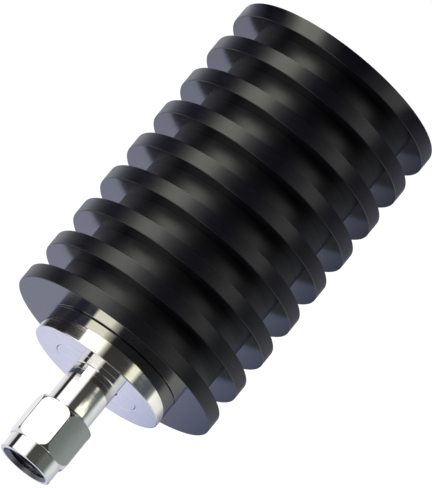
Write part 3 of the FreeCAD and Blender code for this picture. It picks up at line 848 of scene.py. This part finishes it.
FLANGE_CARDS = (
    (-160, 0.16, 0.17, 0.22),
    (-140, 0.26, 0.27, 0.3),
    (-122, 0.6, 0.61, 0.59),
    (-90, 0.76, 0.75, 0.68),
    (-84, 0.13, 0.15, 0.15),
    (-74, 0.055, 0.07, 0.065),
    (-62, 0.055, 0.07, 0.085),
    (-49, 0.05, 0.06, 0.06),
    (-42, 0.72, 0.72, 0.57),
    (-34, 0.72, 0.72, 0.57),
    (-28, 0.06, 0.06, 0.045),
    (-22, 0.028, 0.026, 0.025),
    (11, 0.028, 0.026, 0.025),
    (17, 0.36, 0.36, 0.28),
    (22, 0.86, 0.86, 0.76),
    (36, 0.92, 0.92, 0.88),
    (54, 0.9, 0.9, 0.84),
    (57, 0.014, 0.012, 0.014),
    (134, 0.014, 0.012, 0.014),
    (144, 0.12, 0.12, 0.14),
    (156, 0.46, 0.46, 0.51),
    (180, 0.5, 0.5, 0.56),
)
NUT_CARDS = (
    (-180, 0.33, 0.34, 0.39),
    (-140, 0.37, 0.38, 0.43),
    (-120, 0.48, 0.5, 0.54),
    (-100, 0.54, 0.57, 0.57),
    (-90, 0.46, 0.49, 0.48),
    (-81, 0.25, 0.27, 0.27),
    (-72, 0.095, 0.115, 0.11),
    (-40, 0.09, 0.09, 0.08),
    (-26, 0.05, 0.05, 0.048),
    (13, 0.05, 0.05, 0.048),
    (20, 0.62, 0.62, 0.6),
    (25, 0.92, 0.92, 0.91),
    (81, 0.9, 0.9, 0.9),
    (87, 0.02, 0.02, 0.022),
    (102, 0.02, 0.02, 0.022),
    (109, 0.46, 0.46, 0.47),
    (130, 0.64, 0.64, 0.66),
    (180, 0.58, 0.58, 0.6),
)

# The near room's plain colours, for the flange's face and the neck to mirror, by azimuth
NEAR_ROOM = (
    (-180, 0.56, 0.57, 0.62),
    (-100, 0.84, 0.87, 0.9),
    (-90, 0.66, 0.68, 0.68),
    (-80, 0.06, 0.06, 0.06),
    (8, 0.045, 0.045, 0.045),
    (20, 0.8, 0.8, 0.78),
    (28, 1.12, 1.12, 1.1),
    (79, 1.12, 1.12, 1.11),
    (85, 0.03, 0.03, 0.03),
    (101, 0.03, 0.03, 0.03),
    (110, 0.86, 0.86, 0.9),
    (180, 0.92, 0.92, 1.0),
)

# Plain colours of a low band on the near side, for the front fin and the flange to mirror, by azimuth
BAND_CARDS = (
    (-140, 0.4, 0.4, 0.48),
    (-112, 0.54, 0.54, 0.55),
    (-96, 0.5, 0.5, 0.5),
    (-84, 0.1, 0.1, 0.11),
    (-60, 0.045, 0.045, 0.045),
    (-30, 0.03, 0.03, 0.03),
    (13, 0.04, 0.04, 0.04),
    (22, 1.3, 1.27, 1.08),
    (30, 3.2, 3.1, 2.6),
    (56, 3.1, 3.0, 2.5),
    (60, 0.05, 0.06, 0.1),
    (125, 0.05, 0.05, 0.07),
    (142, 0.2, 0.2, 0.3),
)

# The Y of a direction over which the near room turns into the room beyond
BEYOND = (0.74, 0.90)

# Radii over which the fins' ring of cards turns into the flange's, and that one into the nut's
FLANGE_START = (199 * MM, 201 * MM)
NUT_START = (219.7 * MM, 220.7 * MM)

# The cards lie this far above the part's foot, and the floor this far below it
CARD_LIFT = 0.02 * MM
CARD_RADIUS = 900 * MM
FLOOR_RADIUS = 6000 * MM

# Share of the floor's own shading that plain white covers for the camera
FLOOR_GLOW = 0.8

BAND_RADIUS = 60 * MM
BAND_BOTTOM = 56 * MM
BAND_TOP = 64.5 * MM
BAND_HALF_SPAN = math.radians(145)

# The cream light that the neck mirrors as a flame: the azimuth of its middle, its half width and its
# soft edge in degrees, the radii between which it widens, and the radii over which it ends
FLAME_AZIMUTH = -43
FLAME_WIDTH = 27
FLAME_EDGE = 4
FLAME_START = (228 * MM, 238 * MM)
FLAME_END = (248.5 * MM, 251 * MM)
FLAME_COLOUR = (1.0, 1.0, 0.84)

# The panel beyond the object: its distance, the ends of its shade along X with their soft edges, and
# the heights between which it turns from deep shade to light shade and then ends
FAR_DISTANCE = 300 * MM
FAR_STRIP = (-200 * MM, -160 * MM, -22 * MM, -4 * MM)
FAR_DEEP = (100 * MM, 126 * MM)
FAR_TOP = (150 * MM, 190 * MM)
FAR_BOTTOM = 50 * MM
FAR_DEEP_SHARE = 0.2

# Soft lamps: azimuth and elevation in degrees, distance and size in metres, and share of the key power
LAMPS = {
    "key lamp": (55, 35, 0.8, 0.3, 1.0),
    "fill lamp": (-70, 50, 0.9, 0.4, 1 / 3),
}


def stage_piece(mesh, finish):
    mesh.materials.append(finish)
    piece = linked(mesh.name, mesh)
    return piece


def sheet_object(name, points, finish):
    """A flat stage piece from the corners of one polygon."""
    mesh = bpy.data.meshes.new(name)
    mesh.from_pydata(points.tolist(), [], [list(range(len(points)))])
    return stage_piece(mesh, finish)


def flat_polygon(radius, height, corners):
    return turned(np.array([(radius, height)]), even_angles(corners))[:, 0]


def floor_finish(stage):
    """Matt and pale. The camera sees it white, with what is left of the object's shadow."""
    material, shader = new_finish("pale floor")
    shader.inputs["Base Color"].default_value = (*stage.floor_colour, 1.0)
    shader.inputs["Roughness"].default_value = 0.9
    shader.inputs["Specular IOR Level"].default_value = 0.0
    matt = shader.outputs["BSDF"]
    white = add(material, "ShaderNodeEmission")
    white.inputs["Strength"].default_value = stage.floor_white
    seen = blended(material, FLOOR_GLOW, matt, white.outputs["Emission"])
    rays = add(material, "ShaderNodeLightPath")
    surface = material.node_tree.nodes["Material Output"].inputs["Surface"]
    feed(material, surface, blended(material, rays.outputs["Is Camera Ray"], matt, seen))
    return material


def azimuth_of(material, place):
    """The azimuth of a place or direction, in turns from -0.5 to 0.5, counted from -Y towards +X."""
    axes = along_axes(material, place)
    ahead = sum_up(material, "MULTIPLY", axes["Y"], -1.0)
    azimuth = sum_up(material, "ARCTAN2", axes["X"], ahead)
    return sum_up(material, "MULTIPLY", azimuth, 1 / FULL_TURN)


def card_colours(material, turns, cards):
    stops = [(degrees / 360 + 0.5, colour) for degrees, *colour in cards]
    return ramp(material, sum_up(material, "ADD", turns, 0.5), stops)


def glow(name, strength=1.0):
    """A material that only shines, and the socket of its colour."""
    material = bpy.data.materials.new(name)
    material.use_nodes = True
    material.node_tree.nodes.clear()
    light = add(material, "ShaderNodeEmission")
    light.inputs["Strength"].default_value = strength
    output = add(material, "ShaderNodeOutputMaterial")
    feed(material, output.inputs["Surface"], light.outputs[0])
    return material, light.inputs["Color"]


def mirrored_azimuth(material, turns, radius):
    """The direction in which a fin's rim mirrors a place on the cards, as an azimuth in turns.

    The ray leaves the rim at half its own azimuth a, so a is the place's azimuth with
    asin(rim / radius * sin(a / 2)) added. Two rounds of this come close enough.
    """
    share_of_rim = sum_up(material, "DIVIDE", reach("heat_sink"), radius)
    mirrored = turns
    for _ in range(2):
        half = sum_up(material, "SINE", sum_up(material, "MULTIPLY", mirrored, FULL_TURN / 2))
        added = sum_up(material, "ARCSINE", sum_up(material, "MULTIPLY", half, share_of_rim))
        mirrored = sum_up(material, "ADD", turns, sum_up(material, "MULTIPLY", added, 1 / FULL_TURN))
    return mirrored


def card_finish(stage):
    """Three rings of light, grey and black cards, and the flame-shaped light in the outer ring."""
    material, colour = glow("studio cards", stage.card_level)
    place = object_place(material)
    turns = azimuth_of(material, place)
    radius = radius_of(material, place)
    width = between(material, radius, *FLAME_START, 0, FLAME_WIDTH / 360)
    aside = sum_up(material, "ABSOLUTE", sum_up(material, "SUBTRACT", turns, FLAME_AZIMUTH / 360))
    within = between(material, sum_up(material, "SUBTRACT", width, aside), 0, FLAME_EDGE / 360, 0, 1)
    lit = sum_up(material, "MULTIPLY", within, between(material, radius, *FLAME_END, 1, 0))
    outer = card_colours(material, turns, NUT_CARDS)
    outer = mixed(material, lit, outer, (*FLAME_COLOUR, 1.0))
    inner = card_colours(material, mirrored_azimuth(material, turns, radius), FIN_CARDS)
    middle = card_colours(material, turns, FLANGE_CARDS)
    inner = mixed(material, between(material, radius, *FLANGE_START, 0, 1), inner, middle)
    feed(material, colour, mixed(material, between(material, radius, *NUT_START, 0, 1), inner, outer))
    return material


def band_finish():
    material, colour = glow("band cards")
    turns = azimuth_of(material, object_place(material))
    feed(material, colour, card_colours(material, turns, BAND_CARDS))
    return material


def band_mesh(columns=97):
    """An upright band on a circle round the axis, open on the far side, in a row of flat strips."""
    angles = NEAR_SIDE + np.linspace(-BAND_HALF_SPAN, BAND_HALF_SPAN, columns)
    rows = np.array([(BAND_RADIUS, BAND_BOTTOM), (BAND_RADIUS, BAND_TOP)])
    points = turned(rows, angles).reshape(-1, 3)
    first = 2 * np.arange(columns - 1)[:, None]
    mesh = bpy.data.meshes.new("band")
    mesh.from_pydata(points.tolist(), [], (first + np.array([0, 2, 3, 1])).tolist())
    return mesh


def far_corners():
    """The far panel's corners: it stands square to Y, as wide and as high as its shade reaches."""
    left, right, bottom, top = FAR_STRIP[0], FAR_STRIP[-1], FAR_BOTTOM, FAR_TOP[-1]
    corners = np.array([(left, bottom), (right, bottom), (right, top), (left, top)])
    return np.insert(corners, 1, FAR_DISTANCE, axis=1)


def far_finish(stage):
    """The colour of the room beyond, with the shade that the fins mirror on one side."""
    material, colour = glow("far panel")
    axes = along_axes(material, object_place(material))
    across = sum_up(material, "MULTIPLY", between(material, axes["X"], *FAR_STRIP[:2], 0, 1),
                    between(material, axes["X"], *FAR_STRIP[2:], 1, 0))
    inside = sum_up(material, "MULTIPLY", across, between(material, axes["Z"], *FAR_TOP, 1, 0))
    depth = between(material, axes["Z"], *FAR_DEEP, 0, 1)
    deep = shaded(stage.far_dim, FAR_DEEP_SHARE)
    shade = mixed(material, depth, (*deep, 1.0), (*stage.far_dim, 1.0))
    feed(material, colour, mixed(material, inside, (*stage.far_colour, 1.0), shade))
    return material


def mirror_only(piece):
    """Only the object's bright sides see this piece."""
    piece.visible_camera = False
    piece.visible_diffuse = False
    piece.visible_shadow = False


def backdrop(world, colour, strength=1.0):
    node = add(world, "ShaderNodeBackground")
    feed(world, node.inputs["Color"], colour)
    node.inputs["Strength"].default_value = strength
    return node.outputs[0]


def set_room(stage):
    """White behind the object, even light for matt sides, and two rooms for bright sides to mirror."""
    world = bpy.data.worlds.new("pale room")
    bpy.context.scene.world = world
    world.use_nodes = True
    world.node_tree.nodes.clear()
    white = (1.0, 1.0, 1.0, 1.0)
    direction = add(world, "ShaderNodeTexCoord").outputs["Generated"]
    near = card_colours(world, azimuth_of(world, direction), NEAR_ROOM)
    beyond = between(world, along_axes(world, direction)["Y"], *BEYOND, 0, 1)
    mirrored = backdrop(world, mixed(world, beyond, near, (*stage.far_colour, 1.0)))
    even = backdrop(world, white, stage.room_level)
    rays = add(world, "ShaderNodeLightPath")
    lit = blended(world, rays.outputs["Is Glossy Ray"], even, mirrored)
    output = add(world, "ShaderNodeOutputWorld")
    feed(world, output.inputs["Surface"],
         blended(world, rays.outputs["Is Camera Ray"], lit, backdrop(world, white)))


def set_lamp(name, azimuth, elevation, distance, size, power):
    """A soft square lamp that faces the object, from an azimuth counted from -Y towards +X."""
    lamp = bpy.data.lights.new(name, "AREA")
    lamp.size = size
    lamp.energy = power
    holder = linked(name, lamp)
    holder.visible_glossy = False
    away = Vector((math.sin(azimuth) * math.cos(elevation), -math.cos(azimuth) * math.cos(elevation),
                   math.sin(elevation)))
    lo, hi = cad_bounds
    holder.location = (lo + hi) / 2 + away * distance
    holder.rotation_euler = away.to_track_quat("Z", "Y").to_euler()


def set_camera(stage):
    """Stands off along the view line, rolled about it, with its target panned off the middle."""
    right = Vector((1, 0, 0))
    up = Vector((0, math.sin(stage.elevation), math.cos(stage.elevation)))
    back = Vector((0, -math.cos(stage.elevation), math.sin(stage.elevation)))
    camera_right = right * math.cos(stage.roll) - up * math.sin(stage.roll)
    camera_up = right * math.sin(stage.roll) + up * math.cos(stage.roll)
    target = Vector((0, 0, stage.target))
    spot = target + back * stage.distance - camera_right * stage.pan_right - camera_up * stage.pan_up
    camera = bpy.data.cameras.new("camera")
    camera.lens = stage.lens
    camera.clip_start = 0.01
    camera.clip_end = 20.0
    holder = linked("camera", camera)
    axes = Matrix((camera_right, camera_up, back)).transposed()
    holder.matrix_world = Matrix.Translation(spot) @ axes.to_4x4()
    bpy.context.scene.camera = holder


class TERMINATOR_OT_stage(bpy.types.Operator):
    """Set up the floor, the cards, the room, the lamps and the camera"""

    bl_idname = "terminator.stage"
    bl_label = "Stage"

    def execute(self, context):
        stage = context.scene.terminator_stage
        cards = flat_polygon(CARD_RADIUS, CARD_LIFT, 96)
        sheet_object("floor", flat_polygon(FLOOR_RADIUS, -CARD_LIFT, 4), floor_finish(stage))
        mirror_only(sheet_object("cards", cards, card_finish(stage)))
        mirror_only(sheet_object("far panel", far_corners(), far_finish(stage)))
        mirror_only(stage_piece(band_mesh(), band_finish()))
        set_room(stage)
        for name, (azimuth, elevation, distance, size, power) in LAMPS.items():
            set_lamp(name, math.radians(azimuth), math.radians(elevation), distance, size,
                     power * stage.key_power)
        set_camera(stage)
        context.scene.view_settings.view_transform = "Standard"
        return {"FINISHED"}


class TERMINATOR_PT_panel(bpy.types.Panel):
    """Lists the sizes, the finishes and the steps"""

    bl_idname = "TERMINATOR_PT_panel"
    bl_label = "Coaxial Terminator"
    bl_space_type = "VIEW_3D"
    bl_region_type = "UI"
    bl_category = "Terminator"

    def draw(self, context):
        scene = context.scene
        for group in (scene.terminator_sizes, scene.terminator_finish, scene.terminator_stage):
            column = self.layout.column()
            for name in group.__annotations__:
                column.prop(group, name)
        for step in STEPS:
            self.layout.operator(step.bl_idname)


GROUPS = {
    "terminator_sizes": TerminatorSizes,
    "terminator_finish": TerminatorFinish,
    "terminator_stage": TerminatorStage,
}
STEPS = (
    TERMINATOR_OT_heat_sink,
    TERMINATOR_OT_connector,
    TERMINATOR_OT_coaxial_line,
    TERMINATOR_OT_coupling_nut,
    TERMINATOR_OT_inner_pieces,
    TERMINATOR_OT_stage,
)


def register():
    for kind in (*GROUPS.values(), *STEPS, TERMINATOR_PT_panel):
        bpy.utils.register_class(kind)
    for name, group in GROUPS.items():
        setattr(bpy.types.Scene, name, PointerProperty(type=group))


def unregister():
    for name in GROUPS:
        delattr(bpy.types.Scene, name)
    for kind in reversed((*GROUPS.values(), *STEPS, TERMINATOR_PT_panel)):
        bpy.utils.unregister_class(kind)


def main():
    register()
    bpy.ops.terminator.heat_sink()
    bpy.ops.terminator.connector()
    bpy.ops.terminator.coaxial_line()
    bpy.ops.terminator.coupling_nut()
    bpy.ops.terminator.inner_pieces()
    bpy.ops.terminator.stage()


if __name__ == "__main__":
    main()
